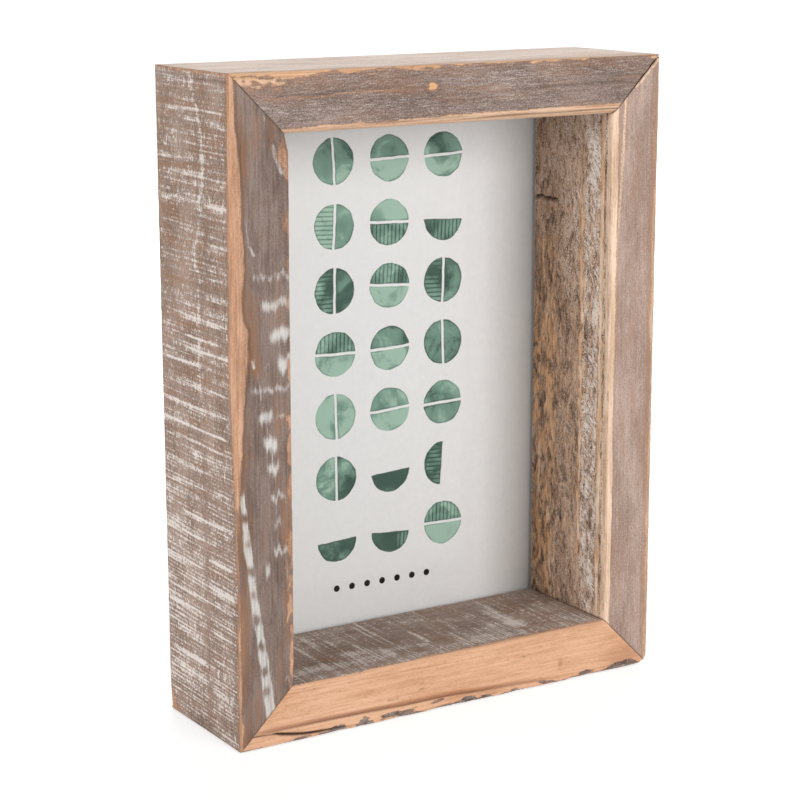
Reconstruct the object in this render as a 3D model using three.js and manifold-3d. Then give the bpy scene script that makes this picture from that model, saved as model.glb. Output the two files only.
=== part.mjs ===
// A deep wooden box frame for a 130 x 180 mm print, standing upright on its bottom board.
// Millimetres, +Z up. The front faces -Y, and the origin is the middle of the underside.
// Four mitred boards carry the glass, the print and the backing board in a rabbet at the
// back. Turn buttons hold the backing in, and a sawtooth hanger sits on the top board.
import * as THREE from "three";
import { mergeVertices } from "three/addons/utils/BufferGeometryUtils.js";
import Module from "manifold-3d";

const wasm = await Module();
wasm.setup();

// The print and the sheets stacked in the rabbet
const PRINT_WIDTH = 130;
const PRINT_HEIGHT = 180;
const PRINT_THICKNESS = 0.3;
const GLASS_THICKNESS = 2;
const BACKING_THICKNESS = 2.5;
const SEAT_GAP = 0.1; // between flat faces that rest on each other
const SHEET_CLEARANCE = 0.5; // from the sheets' edges to the rabbet's walls

// The boards
const BOARD_FACE = 18.5; // a board's width seen from the front
const BOARD_DEPTH = 49; // front face to back face
const LIP = 4; // how far the boards cover the print on each side
const MITRE_GAP = 0.3; // glue line between two boards
const FRONT_OUTER_WEAR = 1.4; // radii of the worn arrises
const FRONT_INNER_WEAR = 1.2;
const BACK_OUTER_WEAR = 0.8;
const WEAR_SEGMENTS = 3;

// V nails pressed into the back of each mitre
const NAIL_LEG = 3.6;
const NAIL_SHEET = 0.6;
const NAIL_LENGTH = 10;
const NAIL_HALF_ANGLE = THREE.MathUtils.degToRad(50);
const NAIL_RECESS = 0.4; // below the back face
const NAIL_OUTER_MARGIN = 5; // along the mitre, from the frame's corner to the outer nail
const NAIL_INNER_MARGIN = 7.8; // along the mitre, from the rabbet's corner to the inner nail

// Turn buttons and their screws
const BUTTON_HEAD_RADIUS = 4.5;
const BUTTON_TIP_RADIUS = 3.2;
const BUTTON_REACH = 15; // from the pivot to the tip
const BUTTON_SHEET = 1;
const BUTTON_BEND = 4; // length of the bent thumb lift
const BUTTON_LIFT = 1.2; // how far the tip stands up
const BUTTON_SETBACK = 7; // from the rabbet's wall to the pivot
const BUTTON_SPACING = 104; // between the two buttons of one side
const PIVOT_GAP = 0.1; // under and over a button, and round its screw
const SCREW_RADIUS = 1.45;
const SCREW_LENGTH = 13; // below the head
const SCREW_TIP = 2.5;
const SCREW_HEAD_RADIUS = 2.8;
const SCREW_HEAD_RIM = 0.7; // straight side of the pan head
const SCREW_HEAD_DOME = 1;
const RECESS_WIDTH = 0.7;
const RECESS_SPAN = 3;
const RECESS_DEPTH = 0.9;

// The sawtooth hanger and its two pins
const HANGER_LENGTH = 45;
const HANGER_HEIGHT = 9;
const HANGER_SHEET = 0.8;
const HANGER_CORNER = 2;
const HANGER_FOOT = 7; // flat length at each end
const HANGER_RAMP = 3; // length over which the strip rises
const HANGER_RISE = 2; // room behind the raised middle
const TOOTH_COUNT = 9;
const TOOTH_PITCH = 2.6;
const TOOTH_DEPTH = 1.6;
const PIN_RADIUS = 0.7;
const PIN_LENGTH = 10; // below the head
const PIN_TIP = 1.5;
const PIN_HEAD_RADIUS = 1.6;
const PIN_HEAD_RIM = 0.3;
const PIN_HEAD_DOME = 0.3;

const FIT_GAP = 0.3; // round a fastener that is driven into wood or through the hanger
const ROUND_SEGMENTS = 20;
const DOME_STEPS = 4;
const CUT_SPARE = 1; // how far a cutting solid runs past the surface that it cuts
const WELD = 1e-4; // vertices closer than this are one

// What follows from the sizes above
const FRAME_WIDTH = PRINT_WIDTH - 2 * LIP + 2 * BOARD_FACE;
const FRAME_HEIGHT = PRINT_HEIGHT - 2 * LIP + 2 * BOARD_FACE;
const RABBET_WIDTH = LIP + SHEET_CLEARANCE;
const RABBET_DEPTH = GLASS_THICKNESS + PRINT_THICKNESS + BACKING_THICKNESS + 3 * SEAT_GAP;
const REAR_LAND = BOARD_FACE - RABBET_WIDTH; // a board's width seen from the back
const FRONT_Y = -BOARD_DEPTH / 2;
const BACK_Y = BOARD_DEPTH / 2;
const MIDDLE_Z = FRAME_HEIGHT / 2;
const BUTTON_INSET = REAR_LAND - BUTTON_SETBACK;
const HANGER_PIN_X = HANGER_LENGTH / 2 - HANGER_FOOT / 2;
const HANGER_INSET = REAR_LAND / 2;
const NAIL_PLACES = {
  outer: NAIL_OUTER_MARGIN / Math.SQRT2,
  inner: REAR_LAND - NAIL_INNER_MARGIN / Math.SQRT2,
};

const GREY_WOOD = { color: 0x8f7b6c, roughness: 0.85, metalness: 0 };
const PALE_WOOD = { color: 0xb59d8c, roughness: 0.85, metalness: 0 };
const BARE_PINE = { color: 0xd9a679, roughness: 0.8, metalness: 0 };
const GLASS = { color: 0xf2f7f5, roughness: 0.05, metalness: 0, transparent: true, opacity: 0.35 };
const PAPER = { color: 0xe4e2de, roughness: 0.9, metalness: 0 };
const FIBREBOARD = { color: 0x7a5a40, roughness: 0.8, metalness: 0 };
const ZINC = { color: 0xb9bcc0, roughness: 0.35, metalness: 1 };

function solidOf(geometry) {
  const bare = geometry.clone();
  bare.deleteAttribute("normal");
  bare.deleteAttribute("uv");
  const merged = mergeVertices(bare, WELD);
  const corners = merged.index.array;
  const kept = [];
  for (let i = 0; i < corners.length; i += 3) {
    const [a, b, c] = corners.slice(i, i + 3);
    if (a !== b && b !== c && c !== a) kept.push(a, b, c);
  }
  const vertProperties = merged.attributes.position.array;
  const triVerts = new Uint32Array(kept);
  return new wasm.Manifold(new wasm.Mesh({ numProp: 3, vertProperties, triVerts }));
}

function geometryOf(solid) {
  const mesh = solid.getMesh();
  const geometry = new THREE.BufferGeometry();
  geometry.setAttribute("position", new THREE.BufferAttribute(mesh.vertProperties, 3));
  geometry.setIndex(new THREE.BufferAttribute(mesh.triVerts, 1));
  geometry.computeVertexNormals();
  return geometry;
}

function cut(geometry, cutters) {
  const rest = cutters.reduce((solid, cutter) => solid.subtract(solidOf(cutter)), solidOf(geometry));
  return geometryOf(rest);
}

function common(geometry, other) {
  return geometryOf(solidOf(geometry).intersect(solidOf(other)));
}

function meshOf(name, geometry, look) {
  const mesh = new THREE.Mesh(geometry, new THREE.MeshStandardMaterial(look));
  mesh.name = name;
  return mesh;
}

function shapeThrough(points) {
  return new THREE.Shape(points.map(([x, y]) => new THREE.Vector2(x, y)));
}

// A shape drawn in X and Z, as a plate that runs from front to back in Y.
function plate(shape, front, back) {
  const options = { depth: back - front, curveSegments: ROUND_SEGMENTS / 2, bevelEnabled: false };
  return new THREE.ExtrudeGeometry(shape, options).rotateX(Math.PI / 2).translate(0, back, 0);
}

// A round bar along Y.
function bar(radius, front, back) {
  const geometry = new THREE.CylinderGeometry(radius, radius, back - front, ROUND_SEGMENTS);
  return geometry.translate(0, (front + back) / 2, 0);
}

// A strip of sheet along X. Its underside runs through the given points, from left to right.
function bentStrip(underside, sheet, width) {
  const topside = underside.map(([x, y]) => [x, y + sheet]).reverse();
  const options = { depth: width, bevelEnabled: false };
  const geometry = new THREE.ExtrudeGeometry(shapeThrough([...underside, ...topside]), options);
  return geometry.translate(0, 0, -width / 2);
}

// A pointed shank with a domed head along Y. The head's underside lies at y = seat.
function fastener({ radius, length, tip, headRadius, rim, dome }, seat) {
  const profile = [
    new THREE.Vector2(0, seat - length),
    new THREE.Vector2(radius, seat - length + tip),
    new THREE.Vector2(radius, seat),
    new THREE.Vector2(headRadius, seat),
  ];
  for (let i = 0; i <= DOME_STEPS; i++) {
    const angle = (i / DOME_STEPS) * (Math.PI / 2);
    const out = i < DOME_STEPS ? headRadius * Math.cos(angle) : 0;
    profile.push(new THREE.Vector2(out, seat + rim + dome * Math.sin(angle)));
  }
  return new THREE.LatheGeometry(profile, ROUND_SEGMENTS);
}

// The boards

// A board's section: x runs from the outer face inwards, y from the front face to the back.
function boardSection() {
  const section = new THREE.Shape();
  const shoulder = BOARD_DEPTH - RABBET_DEPTH;
  const quarter = Math.PI / 2;
  section.absarc(FRONT_OUTER_WEAR, FRONT_OUTER_WEAR, FRONT_OUTER_WEAR, -2 * quarter, -quarter);
  section.absarc(BOARD_FACE - FRONT_INNER_WEAR, FRONT_INNER_WEAR, FRONT_INNER_WEAR, -quarter, 0);
  section.lineTo(BOARD_FACE, shoulder);
  section.lineTo(REAR_LAND, shoulder);
  section.lineTo(REAR_LAND, BOARD_DEPTH);
  section.absarc(BACK_OUTER_WEAR, BOARD_DEPTH - BACK_OUTER_WEAR, BACK_OUTER_WEAR, quarter, 2 * quarter);
  section.closePath();
  return section;
}

// A board lying along X on its outer face, with both ends mitred towards +Z.
function mitredBoard(outerLength) {
  const options = { depth: 1, curveSegments: WEAR_SEGMENTS, bevelEnabled: false };
  const geometry = new THREE.ExtrudeGeometry(boardSection(), options);
  const points = geometry.attributes.position;
  for (let i = 0; i < points.count; i++) {
    const inward = points.getX(i);
    const length = outerLength - 2 * inward - Math.SQRT2 * MITRE_GAP;
    points.setXYZ(i, (0.5 - points.getZ(i)) * length, points.getY(i) + FRONT_Y, inward);
  }
  return geometry;
}

// The slots for the V nails at both ends of a board that lies as mitredBoard leaves it.
function nailSlots(outerLength) {
  const slots = [];
  for (const end of [-1, 1]) {
    for (const inset of Object.values(NAIL_PLACES)) {
      const slot = chevron(FIT_GAP, NAIL_RECESS + NAIL_LENGTH + FIT_GAP, CUT_SPARE);
      slot.rotateY(Math.atan2(-1, -end));
      slots.push(slot.translate(end * (outerLength / 2 - inset), BACK_Y, inset));
    }
  }
  return slots;
}

// Two holes from the back, the same way each side of a board's middle.
function pilotHoles(spacing, inset, radius, depth) {
  return [-spacing / 2, spacing / 2].map((place) => {
    const hole = bar(radius + FIT_GAP, BACK_Y - depth - FIT_GAP, BACK_Y + CUT_SPARE);
    return hole.translate(place, 0, inset);
  });
}

function makeBoards() {
  const boards = new THREE.Group();
  const screwHoles = pilotHoles(BUTTON_SPACING, BUTTON_INSET, SCREW_RADIUS, SCREW_LENGTH);
  const pinHoles = pilotHoles(2 * HANGER_PIN_X, HANGER_INSET, PIN_RADIUS, PIN_LENGTH);
  const side = { length: FRAME_HEIGHT, z: MIDDLE_Z, holes: screwHoles };
  const level = { length: FRAME_WIDTH, x: 0 };
  const plans = [
    { ...level, name: "board_bottom", z: 0, turn: 0, holes: [], look: BARE_PINE },
    { ...level, name: "board_top", z: FRAME_HEIGHT, turn: Math.PI, holes: pinHoles, look: GREY_WOOD },
    { ...side, name: "board_left", x: -FRAME_WIDTH / 2, turn: Math.PI / 2, look: GREY_WOOD },
    { ...side, name: "board_right", x: FRAME_WIDTH / 2, turn: -Math.PI / 2, look: PALE_WOOD },
  ];
  for (const plan of plans) {
    const cutters = [...nailSlots(plan.length), ...plan.holes];
    const board = meshOf(plan.name, cut(mitredBoard(plan.length), cutters), plan.look);
    board.position.set(plan.x, 0, plan.z);
    board.rotation.y = plan.turn;
    boards.add(board);
  }
  return boards;
}

// The V nails

// A V of sheet that stands along Y, with its point at the origin and its legs towards +X.
function chevron(grow, below, above) {
  const half = NAIL_SHEET / 2 + grow;
  const leg = NAIL_LEG + grow;
  const cos = Math.cos(NAIL_HALF_ANGLE);
  const sin = Math.sin(NAIL_HALF_ANGLE);
  const outerEnd = [leg * cos - half * sin, leg * sin + half * cos];
  const innerEnd = [leg * cos + half * sin, leg * sin - half * cos];
  const outline = [
    [-half / sin, 0],
    [outerEnd[0], -outerEnd[1]],
    [innerEnd[0], -innerEnd[1]],
    [half / sin, 0],
    innerEnd,
    outerEnd,
  ];
  return plate(shapeThrough(outline), -below, above);
}

function makeNails() {
  const nails = new THREE.Group();
  const nailGeometry = chevron(0, NAIL_LENGTH, 0);
  for (const [level, up] of [["bottom", -1], ["top", 1]]) {
    for (const [side, right] of [["left", -1], ["right", 1]]) {
      for (const [place, inset] of Object.entries(NAIL_PLACES)) {
        const nail = meshOf(`v_nail_${level}_${side}_${place}`, nailGeometry, ZINC);
        const x = right * (FRAME_WIDTH / 2 - inset);
        const z = MIDDLE_Z + up * (FRAME_HEIGHT / 2 - inset);
        nail.position.set(x, BACK_Y - NAIL_RECESS, z);
        nail.rotation.y = Math.atan2(up, -right);
        nails.add(nail);
      }
    }
  }
  return nails;
}

// The glass, the print and the backing board

function makeSheets() {
  const sheets = new THREE.Group();
  const plans = [
    { name: "glass_pane", thickness: GLASS_THICKNESS, look: GLASS },
    { name: "print_sheet", thickness: PRINT_THICKNESS, look: PAPER },
    { name: "backing_board", thickness: BACKING_THICKNESS, look: FIBREBOARD },
  ];
  let front = BACK_Y - RABBET_DEPTH;
  for (const { name, thickness, look } of plans) {
    front += SEAT_GAP;
    const sheet = meshOf(name, new THREE.BoxGeometry(PRINT_WIDTH, thickness, PRINT_HEIGHT), look);
    sheet.position.set(0, front + thickness / 2, MIDDLE_Z);
    sheets.add(sheet);
    front += thickness;
  }
  return sheets;
}

// The turn buttons

// A teardrop of sheet along X with its pivot at the origin and its tip bent up.
function turnButton() {
  const underside = BACK_Y + PIVOT_GAP;
  const bendX = BUTTON_REACH - BUTTON_BEND;
  const endX = BUTTON_REACH + CUT_SPARE;
  const endY = underside + (BUTTON_LIFT / BUTTON_BEND) * (endX - bendX);
  const line = [[-BUTTON_HEAD_RADIUS - CUT_SPARE, underside], [bendX, underside], [endX, endY]];
  const strip = bentStrip(line, BUTTON_SHEET, 2 * (BUTTON_HEAD_RADIUS + CUT_SPARE));

  const tipX = BUTTON_REACH - BUTTON_TIP_RADIUS;
  const tangent = Math.acos((BUTTON_HEAD_RADIUS - BUTTON_TIP_RADIUS) / tipX);
  const teardrop = new THREE.Shape();
  teardrop.absarc(0, 0, BUTTON_HEAD_RADIUS, tangent, 2 * Math.PI - tangent);
  teardrop.absarc(tipX, 0, BUTTON_TIP_RADIUS, -tangent, tangent);
  const outline = plate(teardrop, BACK_Y - CUT_SPARE, endY + BUTTON_SHEET + CUT_SPARE);

  const hole = bar(SCREW_RADIUS + PIVOT_GAP, BACK_Y - CUT_SPARE, endY + CUT_SPARE);
  return cut(common(strip, outline), [hole]);
}

function buttonScrew() {
  const seat = BACK_Y + PIVOT_GAP + BUTTON_SHEET + PIVOT_GAP;
  const sizes = {
    radius: SCREW_RADIUS,
    length: SCREW_LENGTH,
    tip: SCREW_TIP,
    headRadius: SCREW_HEAD_RADIUS,
    rim: SCREW_HEAD_RIM,
    dome: SCREW_HEAD_DOME,
  };
  const top = seat + SCREW_HEAD_RIM + SCREW_HEAD_DOME;
  const height = RECESS_DEPTH + CUT_SPARE;
  const slots = [[RECESS_SPAN, RECESS_WIDTH], [RECESS_WIDTH, RECESS_SPAN]].map(([x, z]) => {
    return new THREE.BoxGeometry(x, height, z).translate(0, top - RECESS_DEPTH + height / 2, 0);
  });
  return cut(fastener(sizes, seat), slots);
}

function makeButtons() {
  const buttons = new THREE.Group();
  const buttonGeometry = turnButton();
  const screwGeometry = buttonScrew();
  for (const [side, right] of [["left", -1], ["right", 1]]) {
    for (const [level, up] of [["lower", -1], ["upper", 1]]) {
      const button = meshOf(`turn_button_${side}_${level}`, buttonGeometry, ZINC);
      const screw = meshOf(`button_screw_${side}_${level}`, screwGeometry, ZINC);
      const x = right * (FRAME_WIDTH / 2 - BUTTON_INSET);
      const z = MIDDLE_Z + up * (BUTTON_SPACING / 2);
      button.position.set(x, 0, z);
      button.rotation.y = right > 0 ? Math.PI : 0;
      screw.position.set(x, 0, z);
      buttons.add(button, screw);
    }
  }
  return buttons;
}

// The hanger

// A strip along X, raised in the middle, with notches along its -Z edge.
function sawtoothHanger() {
  const foot = BACK_Y + SEAT_GAP;
  const raised = foot + HANGER_RISE;
  const endX = HANGER_LENGTH / 2;
  const rampStart = endX - HANGER_FOOT;
  const rampEnd = rampStart - HANGER_RAMP;
  const half = [[rampEnd, raised], [rampStart, foot], [endX + CUT_SPARE, foot]];
  const mirrored = half.map(([x, y]) => [-x, y]).reverse();
  const strip = bentStrip([...mirrored, ...half], HANGER_SHEET, HANGER_HEIGHT + 2 * CUT_SPARE);

  const outline = new THREE.Shape();
  const sideZ = HANGER_HEIGHT / 2;
  const cornerX = endX - HANGER_CORNER;
  const cornerZ = sideZ - HANGER_CORNER;
  const quarter = Math.PI / 2;
  outline.absarc(cornerX, cornerZ, HANGER_CORNER, 0, quarter);
  outline.absarc(-cornerX, cornerZ, HANGER_CORNER, quarter, 2 * quarter);
  outline.absarc(-cornerX, -cornerZ, HANGER_CORNER, 2 * quarter, 3 * quarter);
  for (let i = 0; i < TOOTH_COUNT; i++) {
    const start = (i - TOOTH_COUNT / 2) * TOOTH_PITCH;
    outline.lineTo(start, -sideZ);
    outline.lineTo(start + TOOTH_PITCH / 2, TOOTH_DEPTH - sideZ);
  }
  outline.lineTo((TOOTH_COUNT / 2) * TOOTH_PITCH, -sideZ);
  outline.absarc(cornerX, -cornerZ, HANGER_CORNER, 3 * quarter, 4 * quarter);
  const top = raised + HANGER_SHEET + CUT_SPARE;
  const blank = common(strip, plate(outline, BACK_Y, top));

  const holes = [-HANGER_PIN_X, HANGER_PIN_X].map((x) => {
    return bar(PIN_RADIUS + FIT_GAP, BACK_Y, top).translate(x, 0, 0);
  });
  return cut(blank, holes);
}

function makeHanger() {
  const hanger = new THREE.Group();
  hanger.position.z = FRAME_HEIGHT - HANGER_INSET;
  hanger.add(meshOf("sawtooth_hanger", sawtoothHanger(), ZINC));
  const sizes = {
    radius: PIN_RADIUS,
    length: PIN_LENGTH,
    tip: PIN_TIP,
    headRadius: PIN_HEAD_RADIUS,
    rim: PIN_HEAD_RIM,
    dome: PIN_HEAD_DOME,
  };
  const pinGeometry = fastener(sizes, BACK_Y + SEAT_GAP + HANGER_SHEET + SEAT_GAP);
  for (const [side, right] of [["left", -1], ["right", 1]]) {
    const pin = meshOf(`hanger_pin_${side}`, pinGeometry, ZINC);
    pin.position.x = right * HANGER_PIN_X;
    hanger.add(pin);
  }
  return hanger;
}

const frame = new THREE.Group();
frame.add(makeBoards(), makeNails(), makeSheets(), makeButtons(), makeHanger());

export default frame;
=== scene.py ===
import math
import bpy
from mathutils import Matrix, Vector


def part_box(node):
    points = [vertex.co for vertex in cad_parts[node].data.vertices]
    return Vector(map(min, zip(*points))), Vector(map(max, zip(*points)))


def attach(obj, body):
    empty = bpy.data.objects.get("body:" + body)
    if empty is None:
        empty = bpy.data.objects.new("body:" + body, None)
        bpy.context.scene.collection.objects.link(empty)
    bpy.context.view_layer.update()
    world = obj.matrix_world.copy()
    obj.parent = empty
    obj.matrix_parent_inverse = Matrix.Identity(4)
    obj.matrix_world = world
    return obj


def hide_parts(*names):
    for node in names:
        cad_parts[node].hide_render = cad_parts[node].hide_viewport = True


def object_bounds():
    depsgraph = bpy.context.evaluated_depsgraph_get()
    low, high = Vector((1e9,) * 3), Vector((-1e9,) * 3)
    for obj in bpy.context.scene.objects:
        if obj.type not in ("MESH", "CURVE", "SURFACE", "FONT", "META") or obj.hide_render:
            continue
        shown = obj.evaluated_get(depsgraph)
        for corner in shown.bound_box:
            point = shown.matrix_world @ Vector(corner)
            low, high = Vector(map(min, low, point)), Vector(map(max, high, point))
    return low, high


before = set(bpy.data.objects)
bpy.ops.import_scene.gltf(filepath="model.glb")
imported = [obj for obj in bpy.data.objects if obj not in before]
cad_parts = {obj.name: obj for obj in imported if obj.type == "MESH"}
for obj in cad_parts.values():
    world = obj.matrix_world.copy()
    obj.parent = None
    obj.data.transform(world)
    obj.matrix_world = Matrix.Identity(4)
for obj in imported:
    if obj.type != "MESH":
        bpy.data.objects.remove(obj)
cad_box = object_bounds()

from types import SimpleNamespace

import bpy
import numpy as np
from mathutils import Matrix, Vector

# A deep box frame of weathered pine. Board coordinates are in millimetres: s runs along a
# board from its low end, r from its outer face inwards, and y from the front face back.
MM = 0.001
BODY = "frame"
SIDES = ("left", "right", "bottom", "top")


# Sizes, all from the frame

low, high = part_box("board_left")
FACE = (high.x - low.x) / MM
DEPTH = (high.y - low.y) / MM
FRONT = low.y / MM
WIDTH = (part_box("board_right")[1].x - low.x) / MM
HEIGHT = (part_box("board_top")[1].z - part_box("board_bottom")[0].z) / MM
low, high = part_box("glass_pane")
SEAT = 0.1
SHOULDER = low.y / MM - SEAT - FRONT
SHEET_CLEARANCE = 0.5
LAND = WIDTH / 2 - (high.x / MM + SHEET_CLEARANCE)


# The camera, at the photograph's place

CAMERA_AT = (-378.4, -597.5, 255.0)
CAMERA_YAW = 0.5576
CAMERA_PITCH = -0.2182
CAMERA_ROLL = -0.0025
CAMERA_LENS = 99.41


def add_object(name, data):
    made = bpy.data.objects.new(name, data)
    bpy.context.scene.collection.objects.link(made)
    return made


def add_camera():
    data = bpy.data.cameras.new("camera")
    data.lens = CAMERA_LENS
    data.sensor_width = 36
    data.clip_start, data.clip_end = 0.01, 100
    camera = add_object("camera", data)
    turn = (
        Matrix.Rotation(-CAMERA_YAW, 4, "Z")
        @ Matrix.Rotation(math.pi / 2 + CAMERA_PITCH, 4, "X")
        @ Matrix.Rotation(CAMERA_ROLL, 4, "Z")
    )
    camera.matrix_world = Matrix.Translation(Vector(CAMERA_AT) * MM) @ turn
    bpy.context.scene.camera = camera


# Node trees

def srgb(red, green, blue):
    """A colour written as it looks on screen, 0 to 255, as Blender's linear values."""
    values = []
    for part in (red, green, blue):
        c = part / 255
        values.append(c / 12.92 if c <= 0.04045 else ((c + 0.055) / 1.055) ** 2.4)
    return (*values, 1.0)


class Graph:
    """The node tree of a material or world. Its methods add nodes, and most return a socket."""

    def __init__(self, owner):
        owner.use_nodes = True
        self.owner = owner
        self.tree = owner.node_tree
        self.tree.nodes.clear()

    def node(self, kind, inputs=(), **settings):
        made = self.tree.nodes.new("ShaderNode" + kind)
        for key, value in settings.items():
            setattr(made, key, value)
        for key, value in dict(inputs).items():
            if isinstance(value, bpy.types.NodeSocket):
                self.tree.links.new(value, made.inputs[key])
            else:
                made.inputs[key].default_value = value
        return made

    def math(self, operation, a, b=0.0, clamp=False):
        inputs = {0: a, 1: b}
        return self.node("Math", inputs, operation=operation, use_clamp=clamp).outputs[0]

    def times(self, a, b):
        return self.math("MULTIPLY", a, b)

    def plus(self, a, b):
        return self.math("ADD", a, b)

    def minus(self, a, b):
        return self.math("SUBTRACT", a, b)

    def step(self, value, start, end):
        """0 below start, 1 above end and smooth between them."""
        inputs = {"Value": value, "From Min": start, "From Max": end}
        return self.node("MapRange", inputs, interpolation_type="SMOOTHSTEP").outputs[0]

    def mix(self, share, a, b, blend="MIX"):
        inputs = {0: share, 6: a, 7: b}
        made = self.node("Mix", inputs, data_type="RGBA", blend_type=blend)
        return made.outputs[2]

    def weigh(self, value, weight, offset):
        inputs = {0: value, 1: weight, 2: offset}
        return self.node("Math", inputs, operation="MULTIPLY_ADD").outputs[0]

    def total(self, *parts):
        """Parts round 0.5, weighed and added round 0.5."""
        result = 0.5 - 0.5 * sum(weight for _, weight in parts)
        for value, weight in parts:
            result = self.weigh(value, weight, result)
        return result

    def noise(self, vector, stretch, detail=3.0, roughness=0.55, distortion=0.0, offset=0.0):
        """Noise whose features are about 1/stretch long along each axis."""
        moved = self.node("VectorMath", {0: vector, 1: (offset,) * 3}, operation="ADD")
        inputs = {0: moved.outputs[0], 1: stretch}
        scaled = self.node("VectorMath", inputs, operation="MULTIPLY").outputs[0]
        inputs = {"Vector": scaled, "Scale": 1.0, "Detail": detail, "Roughness": roughness}
        return self.node("TexNoise", {**inputs, "Distortion": distortion}).outputs["Fac"]

    def attribute(self, name):
        return self.node("Attribute", attribute_name=name)

    def place(self):
        return self.node("TexCoord").outputs["Object"]

    def parts(self, vector):
        return self.node("SeparateXYZ", {0: vector}).outputs

    def flat(self, x, y):
        return self.node("CombineXYZ", {0: x, 1: y, 2: 0.0}).outputs[0]

    def turned(self, vector, angle, axis):
        inputs = {"Vector": vector, "Angle": angle}
        return self.node("VectorRotate", inputs, rotation_type=axis).outputs[0]

    def length(self, vector):
        return self.node("VectorMath", {0: vector}, operation="LENGTH").outputs["Value"]

    def surface(self, shader):
        self.node("OutputMaterial", {"Surface": shader.outputs[0]})
        return self.owner

    def finish(self, colour, roughness, height=None, bump=0.3, distance=0.0002, **sockets):
        inputs = {"Base Color": colour, "Roughness": roughness}
        for key, value in sockets.items():
            inputs[key.replace("_", " ")] = value
        shader = self.node("BsdfPrincipled", inputs)
        if height is not None:
            inputs = {"Height": height, "Strength": bump, "Distance": distance}
            normal = self.node("Bump", inputs).outputs[0]
            self.tree.links.new(normal, shader.inputs["Normal"])
        return self.surface(shader)


def new_graph(name):
    return Graph(bpy.data.materials.new(name))


# Smooth seeded noise for the wood's relief and wear

TABLE_SIZE = 256


def value_noise(x, y, seed):
    table = np.random.default_rng(seed).random((TABLE_SIZE, TABLE_SIZE))
    xi, yi = np.floor(x).astype(int), np.floor(y).astype(int)
    fx, fy = x - xi, y - yi
    fx, fy = fx * fx * (3 - 2 * fx), fy * fy * (3 - 2 * fy)
    x0, x1 = xi % TABLE_SIZE, (xi + 1) % TABLE_SIZE
    y0, y1 = yi % TABLE_SIZE, (yi + 1) % TABLE_SIZE
    near = table[x0, y0] * (1 - fx) + table[x1, y0] * fx
    far = table[x0, y1] * (1 - fx) + table[x1, y1] * fx
    return near * (1 - fy) + far * fy


def fbm(x, y, seed, octaves=4):
    """Layered noise from 0 to 1, about 0.5."""
    total, weight, amount = 0.0, 0.0, 1.0
    for octave in range(octaves):
        total = total + amount * value_noise(x, y, seed + octave)
        weight += amount
        x, y, amount = x * 2.03, y * 2.03, amount * 0.5
    return total / weight


def swing(x, y, seed, octaves=4):
    """Layered noise about 0."""
    return fbm(x, y, seed, octaves) - 0.5


def unit(value):
    return np.clip(value, 0, 1)


def ease(value, start, end):
    t = unit((value - start) / (end - start))
    return t * t * (3 - 2 * t)


def bump(value, centre, width):
    return np.exp(-(((value - centre) / width) ** 2))


def most(*values):
    return np.maximum.reduce(values)


def along(s, *places):
    """A straight run through (place, value) pairs."""
    return np.interp(s, *zip(*places))


def marks(s, a, places, soft=3.0):
    """The strongest of some marks across a face: (place, from, to, half width, strength)."""
    found = np.zeros_like(s)
    for at, start, end, half, strength in places:
        reach = ease(a, start - soft, start + soft) * ease(a, end + soft, end - soft)
        found = np.maximum(found, strength * bump(s, at, half) * reach)
    return found


def strokes(s, a, places, soft=0.35):
    """The strongest of some straight strokes: (s from, a from, s to, a to, half width, strength)."""
    found = np.zeros_like(s)
    for s0, a0, s1, a1, half, strength in places:
        run_s, run_a = s1 - s0, a1 - a0
        t = unit(((s - s0) * run_s + (a - a0) * run_a) / (run_s**2 + run_a**2))
        away = np.hypot(s - s0 - t * run_s, a - a0 - t * run_a)
        found = np.maximum(found, strength * ease(half + soft - away, 0, 2 * soft))
    return found


# The boards

MITRE_GAP = 0.12
NAIL_ROOM = 0.05
SAME_PLACE = 1e-5
SAME_WAY = 0.999
SHARP_DEGREES = 50
MAP_SPAN = 0.98
MAP_MARGIN = 0.01
STATION_STEPS = {"left": 0.5, "right": 0.56, "bottom": 0.5, "top": 0.5}
ARRIS_STEP = 0.3
ARRIS_REACH = 4.5
STEPS = {"front": 0.5, "outer": 1.0, "inner": 0.8, "shoulder": 1.2, "wall": 1.2, "back": 1.0}
SIDE_STEPS = {"left": {"inner": 1.2}, "right": {"inner": 0.45}}
FACES = list(STEPS)
# Each face's way into the wood: (r, y)
INTO = {
    "front": (0, 1), "outer": (1, 0), "inner": (-1, 0), "shoulder": (0, -1), "wall": (-1, 0),
    "back": (0, -1),
}


def stretch_points(length, step, fine_start, fine_end):
    """Places from 0 to length, closer together near the ends that are worn."""
    places = [0.0]
    while places[-1] < length:
        here = places[-1]
        near_start = fine_start and here < ARRIS_REACH
        near_end = fine_end and length - here < ARRIS_REACH + step
        places.append(here + (ARRIS_STEP if near_start or near_end else step))
    return np.array(places) * (length / places[-1])


def section(steps):
    """The loop round a board: (r, y, distance round) of each point, and each segment's face."""
    corners = [
        ((0, 0), (FACE, 0), "front", True, True),
        ((FACE, 0), (FACE, SHOULDER), "inner", True, False),
        ((FACE, SHOULDER), (LAND, SHOULDER), "shoulder", False, False),
        ((LAND, SHOULDER), (LAND, DEPTH), "wall", False, False),
        ((LAND, DEPTH), (0, DEPTH), "back", False, True),
        ((0, DEPTH), (0, 0), "outer", True, True),
    ]
    points, faces, walked = [], [], 0.0
    for start, end, face, fine_start, fine_end in corners:
        start, end = np.array(start, float), np.array(end, float)
        length = np.linalg.norm(end - start)
        for place in stretch_points(length, steps[face], fine_start, fine_end)[:-1]:
            points.append((*(start + (end - start) * place / length), walked + place))
            faces.append(face)
        walked += length
    return np.array(points), faces, walked


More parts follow.
